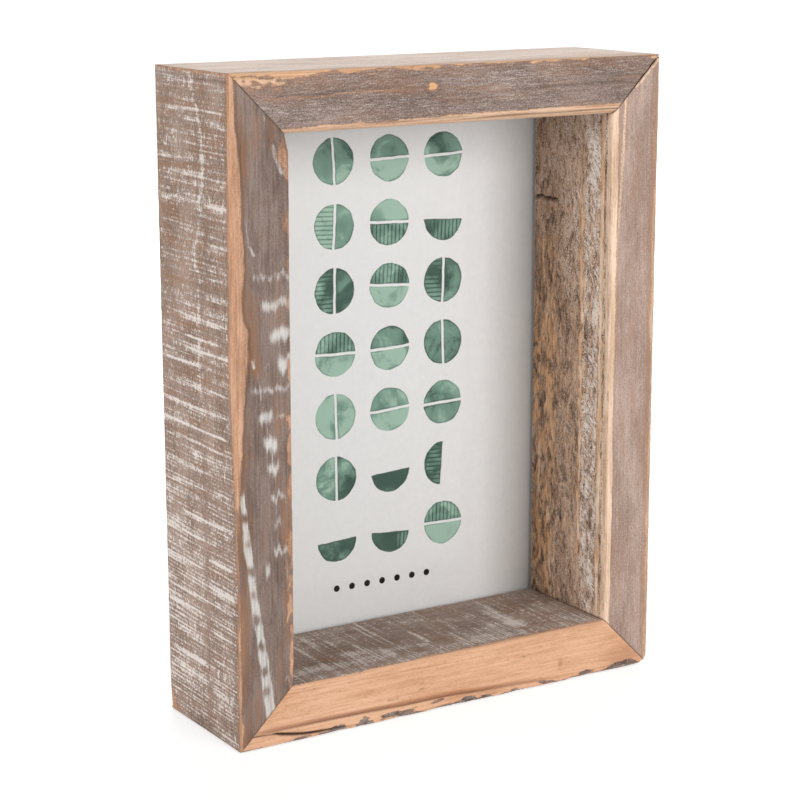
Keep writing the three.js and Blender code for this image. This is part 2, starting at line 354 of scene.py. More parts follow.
def chamfered(r, y, at_r, at_y, inward_r, inward_y, width):
    """Moves points behind a worn 45 degree chamfer of the given width at one corner."""
    soft = 0.35
    behind = width - (inward_r * (r - at_r) + inward_y * (y - at_y))
    push = (behind + np.sqrt(behind**2 + soft**2)) / 4
    near = ease(-behind, 3.0, 1.0)
    return r + inward_r * push * near, y + inward_y * push * near


def in_frame(side, s, r, y):
    """A board's coordinates as the frame's x, y and z."""
    if side in ("bottom", "top"):
        return s - WIDTH / 2, FRONT + y, r if side == "bottom" else HEIGHT - r
    return r - WIDTH / 2 if side == "left" else WIDTH / 2 - r, FRONT + y, s


MIRRORED = ("right", "bottom")
LENGTHS = {"left": HEIGHT, "right": HEIGHT, "bottom": WIDTH, "top": WIDTH}


def fill(data, key, values, kind=np.float32):
    data.foreach_set(key, values.astype(kind).ravel())


def add_board(side, wear):
    """One board as a closed mesh: its section swept from mitre to mitre, with its wear."""
    length = LENGTHS[side]
    points, faces, walked = section({**STEPS, **SIDE_STEPS.get(side, {})})
    count = len(points)
    stations = round(length / STATION_STEPS[side]) + 1
    t = np.linspace(-1, 1, stations)[:, None]
    r0 = np.repeat(points[None, :, 0], stations, 0)
    y0 = np.repeat(points[None, :, 1], stations, 0)
    s0 = length / 2 + t * (length / 2 - r0 - MITRE_GAP / math.sqrt(2))
    face = np.array(faces)[None, :].repeat(stations, 0)
    found = wear(s0, r0, y0, face)

    into = np.array([INTO[name] for name in faces])
    into = np.clip(into + np.roll(into, 1, 0), -1, 1)
    r = r0 + into[:, 0] * found.relief
    y = y0 + into[:, 1] * found.relief
    r, y = chamfered(r, y, 0, 0, 1, 1, found.outer_wear)
    r, y = chamfered(r, y, FACE, 0, -1, 1, found.inner_wear)
    r, y = chamfered(r, y, 0, DEPTH, 1, -1, found.back_wear)
    r = r + found.swell * ease(r0, FACE - 3, FACE) + found.corner * ease(r0, 5, 0)
    half = length / 2 - r - MITRE_GAP / math.sqrt(2) - found.mitre_chip
    s = length / 2 + t * half

    xyz = np.stack(in_frame(side, s, r, y), -1).reshape(-1, 3) * MM
    ring = np.arange(count)
    onward = np.roll(ring, -1)
    rows = np.arange(stations - 1)[:, None] * count
    quads = np.stack([rows + ring, rows + onward, rows + count + onward, rows + count + ring], -1)
    quads = quads.reshape(-1, 4)
    caps = [ring[::-1], ring + (stations - 1) * count]
    if side in MIRRORED:
        quads = quads[:, ::-1]
        caps = [cap[::-1] for cap in caps]

    mesh = bpy.data.meshes.new(f"wood_{side}")
    corners = np.concatenate([quads.ravel(), *caps])
    sizes = np.array([4] * len(quads) + [count, count])
    starts = np.concatenate([[0], np.cumsum(sizes)[:-1]])
    slots = np.array([FACES.index(name) for name in faces])
    slots = np.concatenate([np.tile(slots, stations - 1), [FACES.index("back")] * 2])
    mesh.vertices.add(len(xyz))
    mesh.loops.add(len(corners))
    mesh.polygons.add(len(sizes))
    fill(mesh.vertices, "co", xyz)
    fill(mesh.loops, "vertex_index", corners, np.int32)
    fill(mesh.polygons, "loop_start", starts, np.int32)
    fill(mesh.polygons, "material_index", slots, np.int32)
    mesh.update(calc_edges=True)

    grain = np.stack([s0 + found.slant, r0, y0], -1)
    fill(mesh.attributes.new("place", "FLOAT_VECTOR", "POINT").data, "vector", grain)
    # The wear layer: bare wood, whitewash, dark (grime, joints and some painted shade) and warm tone
    masks = np.stack([found.bare, found.white, found.dark, found.warm], -1)
    fill(mesh.attributes.new("wear", "FLOAT_COLOR", "POINT").data, "color", unit(masks))
    lay_flat(mesh, side, points[:, 2], walked, stations, s0, r0, y0, quads, caps)
    mesh.shade_smooth()
    mesh.set_sharp_from_angle(angle=math.radians(SHARP_DEGREES))
    return add_object(f"wood_{side}", mesh)


def lay_flat(mesh, side, around, walked, stations, s0, r0, y0, quads, caps):
    """A map of the board unrolled, with the two mitred ends beside it."""
    count = len(around)
    scale = MAP_SPAN / LENGTHS[side]
    u = MAP_MARGIN + s0.ravel() * scale
    v = MAP_MARGIN + np.tile(around, stations) * scale
    flat_u, flat_v = u[quads], v[quads]
    first = quads % count
    wrapped = (first.max(1) == count - 1) & (first.min(1) == 0)
    flat_v = np.where(wrapped[:, None] & (first == 0), MAP_MARGIN + walked * scale, flat_v)
    cap_v = MAP_MARGIN * 2 + walked * scale
    parts_u, parts_v = [flat_u.ravel()], [flat_v.ravel()]
    for i, cap in enumerate(caps):
        parts_u.append(MAP_MARGIN + (y0.ravel()[cap] + i * (DEPTH + 6)) * scale)
        parts_v.append(cap_v + r0.ravel()[cap] * math.sqrt(2) * scale)
    pairs = np.stack([np.concatenate(parts_u), np.concatenate(parts_v)], -1)
    fill(mesh.uv_layers.new(name="OFBake").uv, "vector", pairs)


# The wear of each board

# Whitewashed marks across the left board's front: (height, from, to, half height, strength)
TREAD_MARKS = (
    (194.5, 11.2, 12.4, 1.7, 0.6), (148.4, 7, 19.5, 1.3, 0.5), (139.7, 9.6, 19.5, 1.9, 0.8),
    (130.7, 12.2, 19.5, 2.2, 0.95), (122, 15.2, 20, 2.5, 1), (122, 10.6, 12, 0.9, 0.5),
    (114.3, 5.6, 18.5, 1.3, 0.58), (105.2, 8.2, 13, 2.4, 0.95), (105.2, 14, 17.5, 1.2, 0.45),
    (96.8, 9.6, 14.6, 2.4, 1), (89, 11, 15, 2, 0.88), (80.3, 11.8, 16.6, 1.6, 0.78),
    (71.9, 13.2, 15.8, 1.6, 0.65), (62.9, 12.6, 17.6, 1.6, 0.7), (57.5, 9.8, 11.6, 2.6, 0.8),
    (20.9, 15.4, 18.5, 1.4, 0.45),
)
# Thin strokes there: (height from, r from, height to, r to, half width, strength)
FRONT_STROKES = (
    (187, 14.3, 182.8, 15.9, 0.9, 0.5), (182.8, 15.9, 179.7, 16.8, 0.7, 0.6),
    (165.4, 5.2, 158.5, 5.9, 0.35, 0.6), (157.9, 6, 155.1, 7.6, 0.45, 0.8),
    (123.4, 6.2, 121.2, 6.8, 0.4, 0.9), (119.2, 8, 86.5, 13.8, 0.3, 0.6), (86, 13.8, 64, 14.2, 0.3, 0.45),
    (62, 16, 52, 17.4, 0.5, 0.35),
)
# Dark breaks in the long white line down the front: (height, strength)
LINE_BREAKS = (
    (75.5, 0.95), (67, 0.5), (58, 0.95), (50.3, 0.7), (42.5, 0.95), (33.7, 0.95), (25.2, 1), (18.5, 0.8),
)

# Saw marks across the left board's outer side: (height, from, to, half height, strength)
SAW_MARKS = (
    (205.8, 22, 45, 0.7, 0.5), (200, 24, 32, 0.8, 0.55), (197.2, 21, 41, 0.8, 0.75),
    (194.8, 19, 29, 0.8, 0.7), (196.9, 4, 14, 0.9, 0.7), (193.8, 6, 13, 1.2, 0.5),
    (182.4, 16, 47, 0.7, 0.85), (178.1, 17, 46, 0.7, 0.6), (176, 2, 8, 0.7, 0.5), (172, 40, 46, 0.5, 0.6),
    (169.4, 22, 46, 0.5, 0.85), (168.9, 2, 17, 0.9, 1), (162.3, 24, 47, 0.6, 0.9),
    (157, 3, 14, 0.6, 0.45), (151.5, 20, 46, 1.6, 0.4), (147, 5, 16, 0.5, 0.5), (140.4, 22, 47, 0.6, 0.6),
    (140.7, 3, 18, 0.8, 0.75), (137.3, 22, 47, 0.7, 0.9), (136.8, 2, 19, 0.6, 0.8),
    (133, 23, 33, 0.8, 0.7), (132.8, 5, 19, 0.9, 0.6), (127.5, 9, 31, 1, 0.7), (123.5, 2, 32, 0.8, 0.95),
    (118.8, 23, 46, 0.5, 0.85), (115.5, 4, 16, 0.6, 0.5), (112, 6, 46, 1.4, 0.55),
    (105.3, 4, 47, 0.6, 0.9), (98.8, 4, 49, 0.8, 0.95), (94.5, 20, 48, 0.6, 0.6), (90, 3, 30, 0.8, 0.75),
    (85.5, 18, 49, 0.9, 0.8), (80, 2, 44, 0.6, 0.8), (75.5, 8, 49, 0.9, 0.7), (70, 3, 36, 0.8, 0.85),
    (63.5, 14, 49, 0.7, 0.8), (58, 3, 18, 1, 0.95), (54, 22, 49, 0.8, 0.85), (48.5, 4, 17, 0.9, 0.85),
    (44, 3, 49, 0.8, 1), (38.5, 25, 46, 1, 0.85), (34, 4, 17, 0.9, 0.75), (30.5, 24, 42, 1.1, 0.9),
    (25.5, 4, 16, 1, 0.75), (22.5, 24, 44, 1, 0.9), (17.5, 21, 45, 1.1, 0.95), (14.5, 3, 17, 0.9, 0.8),
    (9, 4, 17, 0.8, 0.7),
)
# Marks across the bottom board's inner face: (s, from, to, half width, strength)
FLOOR_MARKS = (
    (66.6, 18, 47, 0.5, 0.95), (64.4, 17, 40, 0.5, 0.95), (78, 13, 26, 0.9, 0.85),
    (49.4, 24, 33, 0.6, 0.75), (37.3, 19, 34, 0.7, 0.75), (105.3, 15, 34, 0.4, 1),
    (93, 20, 33, 0.5, 0.55), (123.9, 15, 28, 0.5, 0.7), (88.5, 8, 20, 0.8, 0.7), (55, 19, 25, 0.7, 0.6),
    (98, 14, 40, 0.5, 0.5), (130.5, 8, 30, 0.6, 0.6), (115, 26, 42, 0.9, 0.6), (44, 30, 40, 0.6, 0.6),
    (82.5, 30, 44, 0.5, 0.6),
)
# Soft strokes there: (s from, y from, s to, y to, half width, strength)
FLOOR_STROKES = ((48, 17, 76, 12, 1.6, 0.34), (20, 10, 60, 9, 3, 0.26), (60, 13, 68, 14, 1.5, 0.5))


# In the wear functions places, widths and depths are in mm, and strengths and shares run from 0
# to 1. The last whole numbers of fbm and swing are a seed and a count of octaves.
def plain_wear(s, r, y, face, seed, length):
    """What all boards share: uneven arrises, light relief and thin dark mitre lines."""
    zero = np.zeros_like(s)
    streaks = fbm(s * 0.05, (r + y) * 1.1, seed)
    lumps = fbm(s * 0.04, (r + y) * 0.09, seed + 10, 2)
    nibbled = swing(s * 0.3, 0, seed + 30)
    to_mitre = np.minimum(s, length - s) - r
    return SimpleNamespace(
        outer_edge=most(r, y),
        inner_edge=most(FACE - r, y),
        back_edge=most(r, DEPTH - y),
        ragged=swing(s * 0.25, (r + y) * 0.9, seed + 20),
        nibbled=nibbled,
        to_mitre=to_mitre,
        outer_wear=0.8 + nibbled * 0.7,
        inner_wear=0.7 + nibbled * 0.6,
        back_wear=0.6 + nibbled * 0.6,
        relief=0.04 * streaks + 0.1 * lumps,
        bare=zero,
        white=zero,
        dark=0.5 * ease(to_mitre, 0.35, 0) * ease(r, 0.8, 3) * (face != "outer"),
        warm=zero + 0.5,
        mitre_chip=zero,
        slant=zero,
        swell=zero,
        corner=zero,
    )


def left_front_white(s, r, w):
    """Tread marks, thin strokes and the long broken line, combed along the grain."""
    comb = swing(r * 0.95, s * 0.05, 140, 3)
    treads = marks(s + 4.2 * comb, r, TREAD_MARKS, 0.9)
    thin = strokes(s, r + 0.5 * w.ragged, FRONT_STROKES)
    line_r = along(s, (9, 11.3), (13.2, 10.5), (31, 8.4), (43.6, 6.5), (56.1, 4.8), (71, 3.1), (82, 2.1))
    half = along(s, (8, 1.9), (18, 1.8), (38, 1.45), (54, 1.3), (71, 1.15), (79, 0.9), (85, 0.5))
    line = ease(half + 0.45 + 0.8 * w.ragged - np.abs(r - line_r), 0, 0.9) * ease(s, 85, 80)
    for height, strength in LINE_BREAKS:
        off = r - line_r + along(s, (20, 0.5), (70, -0.3))
        line *= 1 - strength * bump(s + 2.5 * comb, height, 1.9) * bump(off, 0, 1.5)
    haze = 0.16 * unit(fbm(s * 0.12, r * 0.22, 146, 3) * 3 - 1.4)
    return most(treads * 1.1, thin, line * 1.2, haze)


def wear_left(s, r, y, face):
    w = plain_wear(s, r, y, face, 100, HEIGHT)
    front, outer = face == "front", face == "outer"
    band = along(s, (0, 1.2), (30, 1.1), (55, 0.9), (75, 0.9), (90, 1.6), (102, 2.6), (114, 3.4),
                 (126, 4.9), (132, 4.4), (139, 3), (145, 3), (151, 3.8), (170, 3.1), (182, 2.6),
                 (194, 1.5), (209, 1.1))
    w.outer_wear = 0.3 + 0.4 * band + w.nibbled * 0.5
    w.inner_wear = 0.25 + w.nibbled * 0.3
    w.back_wear = 0.35 + w.nibbled * 0.4 + 0.9 * ease(s, 8, 0)
    w.swell = along(s, (18.5, 0.2), (26, 0.9), (60, 1.1), (110, 1.1), (150, 1.2), (186, 1.4), (190, 0.3))
    edge = w.outer_edge + w.ragged * 1.5
    mottled = np.clip(0.3 + 1.4 * fbm(s * 0.25, r * 0.7, 190, 3), 0, 1.2)
    solid = along(s, (0, 0.9), (18, 0.9), (26, 0.5), (34, 0.75), (45, 0.45), (75, 0.55), (88, 1))
    bare = ease(band * (1 - 0.55 * outer) + 0.6 * outer - edge, along(s, (55, -0.8), (90, -1.9)), 0.8)
    bare *= np.where(solid < 1, solid * mottled, 0.85 + 0.15 * mottled)
    inner_band = along(s, (0, 0.3), (20, 0.5), (40, 1.2), (62, 1.1), (90, 0.8), (105, 0.2), (160, 0.1),
                       (165, 0.9), (171, 0.4), (177, 1.2), (184, 1.9), (189, 1.6), (193, 0.3))
    inner_worn = ease(inner_band - w.inner_edge - w.ragged * 4, -0.9, 0.6)
    bare = most(bare, inner_worn * along(s, (100, 0.9), (150, 0.65)) * unit(mottled))
    top = 0.8 * ease(HEIGHT - s + w.ragged * 2.4, 1.5, 0.2) * outer
    foot = ease(8 - s - 1.1 * (DEPTH - y) + w.ragged * 6, -3, 2) * outer
    back = ease(0.7 - w.back_edge - w.ragged * 1.6, -0.6, 0.4) * ease(s, 36, 24)
    smudge = 0.6 * bump(r, 1.6, 1.1) * bump(s, 33, 14) + 0.4 * bump(r, 1.5, 1) * bump(s, 8, 10)
    smudge *= front * np.clip(4 * fbm(s * 0.16, r * 0.5, 185, 3) - 1.3, 0, 1.3)
    w.bare = most(bare, top, foot, back, smudge)

    share = along(s, (0, 0.44), (20, 0.5), (45, 0.5), (85, 0.45), (110, 0.41), (150, 0.39), (209, 0.41))
    spread = along(y, (0, -0.12), (4, 0), (17.5, 0), (19, -0.14), (21.5, -0.14), (23, 0), (49, 0.02))
    spread *= along(s, (90, 1), (115, 0.3))
    rows = 0.34 * swing(s * 0.14, y * 0.02, 160, 3)
    wobble = along(s, (100, 21), (146, 22), (154, 23.5), (164, 21), (175, 19.5), (188, 18.7), (197, 22),
                   (208, 26))
    wobble += 4.5 * swing(s * 0.3, 0, 150, 3)
    squiggle = 0.36 * bump(y, wobble, 0.9) * ease(s, 92, 120)
    cut = marks(s + 0.012 * y + 0.7 * w.ragged, y, SAW_MARKS)
    outer_white = share + spread + rows + squiggle + along(s, (0, 0.36), (90, 0.42), (120, 0.5)) * cut
    w.white = np.select([front, outer], [left_front_white(s, r, w), outer_white], 0.3)

    fringe = 0.34 * bump(edge, band + 0.9, 0.6) * front * ease(s, 60, 100)
    smoke = 0.1 * bump(r, band + 2.6, 2) + 0.16 * bump(r, 1.8, 1.4) * ease(s, 90, 60) * ease(s, 40, 55)
    smoke += 0.14 * unit(fbm(s * 0.05, r * 0.15, 180, 3) * 3 - 1.5)
    smoke = (smoke * front + fringe) * (1 - unit(w.white * 1.5) * front)
    shadow = 0.3 * bump(HEIGHT - s, 2.6, 0.7) * outer
    knot = 0.3 * bump(np.hypot(s - 203.4, (y - 34.5) * 0.6), 0, 1.1) * outer
    # A dark nick in the outer side; the second term is painted shade at the foot of the outer side, next
    # to the floor
    nick_and_foot_shade = 0.75 * bump(np.hypot((s - 98.6) * 0.7, y - 3.9), 0, 0.5) * outer
    nick_and_foot_shade += 0.3 * bump(s, 1, 2.5) * bump(y, 28, 6) * outer
    dull = 0.05 * ease(s, 100, 170) * outer
    w.dark = most(w.dark, smoke, shadow, knot, nick_and_foot_shade, dull)
    rusty = 0.6 * bump(r, 7.5, 2) * bump(s, 122, 5) + 0.15 * bump(r, 1.5, 3) * ease(s, 62, 48)
    rusty = rusty + 0.25 * bump(w.inner_edge, 2, 2.5) * bump(s, 62, 30) + 0.3 * bump(r, band + 1.5, 1.2)
    outer_warm = along(s, (0, 0.22), (60, 0.28), (120, 0.36), (209, 0.42))
    w.warm = np.where(outer, outer_warm, 0.25 + rusty * front)
    w.slant = -0.012 * y * outer
    w.relief += 0.1 * fbm((s + w.slant) * 0.7, y * 0.03, 170, 2) * outer
    return w


def wear_top(s, r, y, face):
    w = plain_wear(s, r, y, face, 200, WIDTH)
    front, outer = face == "front", face == "outer"
    w.outer_wear = along(s, (0, 0.5), (30, 0.5), (120, 0.4), (159, 0.2)) + w.nibbled * 0.5
    w.back_wear = 0.3 + w.nibbled * 0.3
    patch = along(s, (0, 2), (5, 3.6), (12, 4.6), (18, 4), (24, 2.2), (30, 1), (64, 1), (74, 0.4),
                  (159, 0.3))
    edge = w.outer_edge + w.ragged * 4.4
    pits = unit(fbm(s * 0.6, r * 1.1, 230, 4) * 4 - 1.7) * front * ease(r, 0.2, 1.6)
    pitted = 1 - along(s, (22, 0.75), (32, 0.6)) * pits
    bare = ease(patch * (1 - 0.4 * outer) - edge, along(s, (22, -2.6), (32, -1)), 1) * pitted
    strip = along(s, (15, 1.6), (60, 2), (80, 2.6), (110, 3), (145, 3.2))
    w.inner_wear = 0.3 + 0.35 * strip + w.nibbled * 0.3
    bare = most(bare, ease(strip - w.inner_edge - w.ragged * 1.3, -0.4, 0.3))
    knot_at = np.hypot((s - 70.6) * 0.8, r - 6.8)
    knot = ease(1.15 - knot_at - w.ragged * 2.2, -0.5, 0.5) * front
    seam_r = along(s, (8, 8.2), (30, 8), (45, 7), (80, 7.4)) + 0.5 * swing(s * 0.15, 0, 232, 2)
    seam = bump(r, seam_r, 0.4) * ease(s, 8, 14) * ease(s, 66, 56) * front
    haze = 0.36 * ease(y, 10, 1) * (0.4 + fbm(s * 0.06, y * 0.5, 275, 3)) * outer
    w.bare = most(bare, knot, seam * 0.55, haze)
    vein_at = strip * 0.5 + 0.5 * swing(s * 0.06, 0, 240, 2)
    vein = bump(w.inner_edge, vein_at, 0.3) * ease(s, 70, 95) * front
    vein_left = bump(w.inner_edge, strip * 0.75, 0.3) * ease(s, 45, 60) * ease(s, 95, 75) * front
    dark_r = 8.8 + 1.2 * swing(s * 0.03, 0, 250, 2)
    dark_line = bump(r, dark_r, 0.5) * ease(s, 80, 115) * front
    under_seam = bump(r, seam_r - 0.8, 0.35) * ease(s, 20, 26) * ease(s, 62, 50) * front
    ring = bump(knot_at, 2.3, 0.7) * (0.5 + 1.2 * np.abs(w.ragged)) * front
    w.dark = most(w.dark, vein * 0.6, vein_left * 0.4, dark_line * 0.35, under_seam * 0.3, ring * 0.32)
    speckled = 0.4 + 0.12 * bump(r, 5, 1.6) * ease(s, 60, 90)
    speckled += 0.1 * bump(r, 12, 2.2) * ease(s, 90, 70)
    speckled += 0.34 * swing(s * 0.07, r * 0.3, 260, 3)
    streaked = 0.72 + 0.7 * swing(s * 0.02, y * 0.4, 280, 3)
    w.white = np.select([front, outer], [speckled, streaked], 0.3)
    w.warm = np.where(front, along(r, (0, 0.8), (6, 0.45), (12, 0.3), (18, 0.35)), 0.4)
    w.warm = np.where(knot > 0.1, 1, w.warm)
    open_mitre = ease(s, WIDTH - 22, WIDTH - 17) * ease(y, 4, 1.5)
    chips = 0.1 + 1.7 * unit(fbm(r * 1.2, y * 0.5, 270) - 0.35)
    w.mitre_chip = open_mitre * chips * along(r, (0, 0.1), (1.2, 1), (9, 0.8), (14, 0.2), (18.5, 0))
    return w


def bark(s, y):
    """The torn, fibrous inner face of the right board: 0 in its clefts, 1 on its fibres."""
    warp = swing(s * 0.05, y * 0.18, 350, 3)
    sway = swing(s * 0.22, y * 0.3, 355, 2)
    coarse = fbm(s * 0.12 + 1.4 * warp, y * 0.45 + 4 * warp + 1.6 * sway, 360, 3)
    fine = fbm(s * 0.28 + 2 * warp, y + 7 * warp + 3 * sway, 366, 2)
    return unit((0.5 * coarse + 0.5 * fine - 0.5) * 2.6 + 0.56)


def wear_right(s, r, y, face):
    w = plain_wear(s, r, y, face, 300, HEIGHT)
    front, inner, outer = face == "front", face == "inner", face == "outer"
    outer_band = (1.6 + 1.6 * (fbm(s * 0.04, 0, 340, 3) - 0.45)) * along(s, (160, 1), (190, 0.5))
    w.outer_wear = 0.5 + w.nibbled * 0.4
    bare = 0.62 * ease(outer_band - w.outer_edge - w.ragged * 1.6, -1, 0.6)
    haze = along(s, (0, 0.1), (40, 0.3), (58, 0.42), (178, 0.36), (209, 0.2)) * ease(r, 5, 0.5)
    bare = most(bare, haze * (0.5 + fbm(s * 0.04, r * 0.6, 345, 3)) * front)
    inner_band = np.where(front, 2, 3.3) + 0.7 * swing(s * 0.03, 0, 342, 2)
    w.inner_wear = 1.1 + w.nibbled * 0.4
    bare = most(bare, ease(inner_band - w.inner_edge - w.ragged * 0.8, -0.3, 0.3))
    thin_at = along(s, (60, 16.6), (144.6, 16.5), (153.8, 15.9), (166.6, 14.9), (179, 14.5), (191, 13.8))
    half = along(s, (60, 0.45), (150, 0.6), (180, 0.9))
    thin = ease(half - np.abs(r - thin_at) - w.ragged * 0.7, -0.4, 0.4)
    thin *= along(s, (0, 0), (40, 0), (75, 0.35), (110, 0.5), (140, 0.75), (190, 0.8)) * front
    mitre_edge = ease(1.5 - w.to_mitre - w.ragged * 1.8, -0.5, 0.4) * front
    mitre_edge = mitre_edge * ease(s, 100, 120) * ease(r, 11, 9)

    fibres = bark(s, y)
    second = ease(1.05 - np.abs(y - 5.4 - 0.8 * swing(s * 0.02, 0, 370, 2)) - w.ragged, -0.3, 0.3)
    third = ease(1 - np.abs(y - 16.6 - swing(s * 0.02, 0, 380, 2)) - w.ragged * 1.4, -0.4, 0.4)
    third = third * ease(s, 190, 150) * ease(fbm(s * 0.06, 0, 385, 2), 0.3, 0.5)
    gold_share = ease(y, 26, 33) * along(s, (0, 1), (120, 1), (150, 0.5), (165, 0.2), (209, 0.1))
    gold_share = most(gold_share, 0.5 * ease(y, 16, 19) * ease(s, 150, 110))
    gold = (0.24 + 0.6 * ease(fibres + 0.6 * swing(s * 0.09, y * 0.3, 390, 3), 0.3, 0.75)) * gold_share
    within = most(second * 0.95, third * 0.7, gold) * inner
    w.bare = most(bare, thin * 0.8, mitre_edge, within)

    crack_at = 158.7 + 0.16 * np.sin(y * 0.8) + 0.02 * (y - 38)
    crack = bump(s, crack_at, 0.5) * ease(y, 29, 33) * inner
    lips = bump(np.abs(s - crack_at), 1.3, 0.5) * ease(y, 31.5, 34.5) * inner
    gap = bump(y, 4 + 0.8 * swing(s * 0.05, 0, 397, 2), 0.35) * inner
    gap *= ease(fbm(s * 0.12, 0, 399, 2), 0.35, 0.6)
    roughness = along(y, (0, 0), (2.2, 0.1), (6.6, 0.25), (8, 0.9), (14.5, 0.9), (16, 0.3), (19, 0.7),
                      (30, 1))
    roughness *= inner
    torn = 0.45 * ease(fbm(s * 0.16 + y * 0.08, y * 1.5, 392, 2), 0.48, 0.24) * gold_share * inner
    # Painted shade in the clefts between the torn fibres, stronger where the face is rough
    cleft_shade = ease(fibres, 0.3, 0) * roughness * (1 - 0.7 * second)
    wedge = ease(w.to_mitre, 1, 0.25) * ease(s, 100, 120) * ease(r, 0.8, 1.6) * ease(r, 10, 8) * front
    w.dark = most(w.dark, gap * 0.45, cleft_shade * 0.6, torn, crack, wedge * 0.7)
    flecked = along(y, (2, 0.3), (6.6, 0.42), (7.5, 0.58), (14.5, 0.56), (15.5, 0.38), (24, 0.4),
                    (30, 0.26), (44, 0.24))
    flecked = flecked + 0.6 * swing(s * 0.07, y * 0.25, 398, 3) + 0.35 * (fibres - 0.5) + 0.35 * lips
    w.white = np.select([inner, front, outer], [flecked, 0.26, 0.4], 0.3)
    gilt = along(y, (0, 0.3), (4, 0.3), (5, 0.62), (15, 0.6), (17, 0.85), (28, 0.85), (44, 0.95))
    gilt += 0.9 * swing(s * 0.1, y * 0.5, 394, 3)
    w.warm = np.where(inner, gilt, np.where(w.outer_edge < 3.5, 0.66, 0.35))
    carve = (0.9 * (1 - fibres) * roughness + 0.9 * crack) * ease(y, 1.8, 3.4)
    w.relief += carve * inner * ease(SHOULDER - y, -1, 0.5)
    w.mitre_chip = 0.8 * ease(r, 1.3, 0.2) * ease(y, 7, 3) * (s > HEIGHT / 2)
    w.corner = 0.9 * ease(s, 4.5, 0) ** 2 * ease(y, 30, 10)
    return w


def wear_bottom(s, r, y, face):
    w = plain_wear(s, r, y, face, 400, WIDTH)
    front, inner, outer = face == "front", face == "inner", face == "outer"
    chips = fbm(s * 0.2, r * 0.6, 440, 4)
    reach = along(s, (0, 0), (20, 0.2), (30, 1), (42, 2.3), (75, 2.4), (95, 1.2), (110, 0.8), (116, 1.7),
                  (122, 0.3), (128, 1), (133, 2), (139, 0.3), (145, 1.9), (152, 2.6), (156, 0.4))
    paint = ease(reach - r + 3.2 * (chips - 0.5), -0.25, 0.35) * ease(chips, 0.4, 0.5) * front
    over = along(s, (0, 0.3), (40, 0.5), (70, 1.6), (110, 1.9), (159, 1.6))
    over = ease(over - w.inner_edge - w.ragged * 2.4, -0.8, 0.6)
    w.bare = np.select([front, inner], [1 - 0.95 * paint, over], 0)

    groove_r = along(s, (4, 4.9), (22, 4.8), (38, 4.5), (60, 3.9), (77, 3.7), (95, 2.9), (116, 2),
                     (140, 1.6))
    groove_r += 0.4 * swing(s * 0.05, 0, 450, 2)
    fading = along(s, (4, 0.5), (12, 0.7), (30, 0.9), (85, 0.9), (110, 0.55), (130, 0))
    groove = bump(r, groove_r, 0.36) * fading * front
    shade = bump(r, groove_r + 0.7, 0.8) * fading * front
    split_r = along(s, (4, 4.3), (12.5, 3.9), (15.5, 3.2), (19, 2.5), (23, 1.9), (28, 1.5), (33, 1.4),
                    (42, 0.9))
    split = along(s, (3, 0.7), (11, 0.6), (13.5, 1), (31, 1), (38, 0.6), (43, 0)) * front
    split *= bump(r, split_r, along(s, (11, 0.22), (14.5, 0.5), (28, 0.42), (34, 0.22)))
    stain = bump(r, 6.5 + 0.4 * (s - 122), 2.4) * bump(s, 122, 1.3) * 0.34 * front
    stain += 0.3 * ease(s, 126, 150) * bump(r, 5, 4.5) * front
    flecks = paint * (0.1 + 0.45 * ease(fbm(s * 0.7, r * 1.2, 455, 2), 0.5, 0.75))
    ticks = 0.4 * ease(fbm(s * 0.3, r * 1.8, 458, 2), 0.84, 0.92) * front * ease(r, 3, 5)
    w.dark = most(w.dark, np.minimum(split * 1.3, 1), groove * 0.6, flecks, ticks)
    w.warm = np.where(front, most(groove, shade * 0.55 + 0.45, 0.45 + stain), 0.45)
    w.relief = w.relief + groove * 0.3 + paint * 0.25 + split * 0.6
    w.outer_wear = 0.35 + 0.9 * np.clip(fbm(s * 0.14, 0, 460, 4) * 2 - 0.7, 0, 1.4) * ease(s, 10, 40)

    cut = marks(s + 0.9 * w.ragged, y, FLOOR_MARKS, 2.5)
    drift = strokes(s, y, FLOOR_STROKES, 2)
    cluster = 0.45 * bump(s + 0.08 * (y - 20), 113, 2.4) * ease(y, 8, 12) * ease(y, 34, 28)
    lines = 0.5 * swing(s * 0.06, y * 0.2, 470, 3)
    near = 0.16 * ease(y, 18, 6)
    w.corner = 0.9 * ease(WIDTH - s, 4.5, 0) ** 2 * ease(y, 30, 10)
    drawn = 0.36 + lines + near + most(0.6 * cut, drift, cluster)
    w.white = np.where(inner, drawn, np.where(front | outer, 0.45, 0.3))
    return w


WEAR = {"left": wear_left, "right": wear_right, "bottom": wear_bottom, "top": wear_top}


# Wood

SAW_PITCH = 1.3
PINE = (srgb(158, 115, 86), srgb(214, 170, 141))
SOFT_PINE = (srgb(202, 150, 114), srgb(232, 187, 154))
CREAM_PINE = (srgb(182, 140, 110), srgb(222, 188, 160))
PALE_PINE = (srgb(194, 160, 131), srgb(240, 211, 186))
WHITEWASH = srgb(222, 214, 209)
CHALK = srgb(234, 224, 217)
COOL_WASH = srgb(213, 209, 204)
RUST = srgb(152, 110, 80)
GOLD = srgb(222, 166, 110)
DEEP_RUST = srgb(142, 82, 47)
# Dark brown for grime and dark joints, and for the painted shade in the dark mask
GRIME_AND_SHADE = srgb(46, 35, 29)


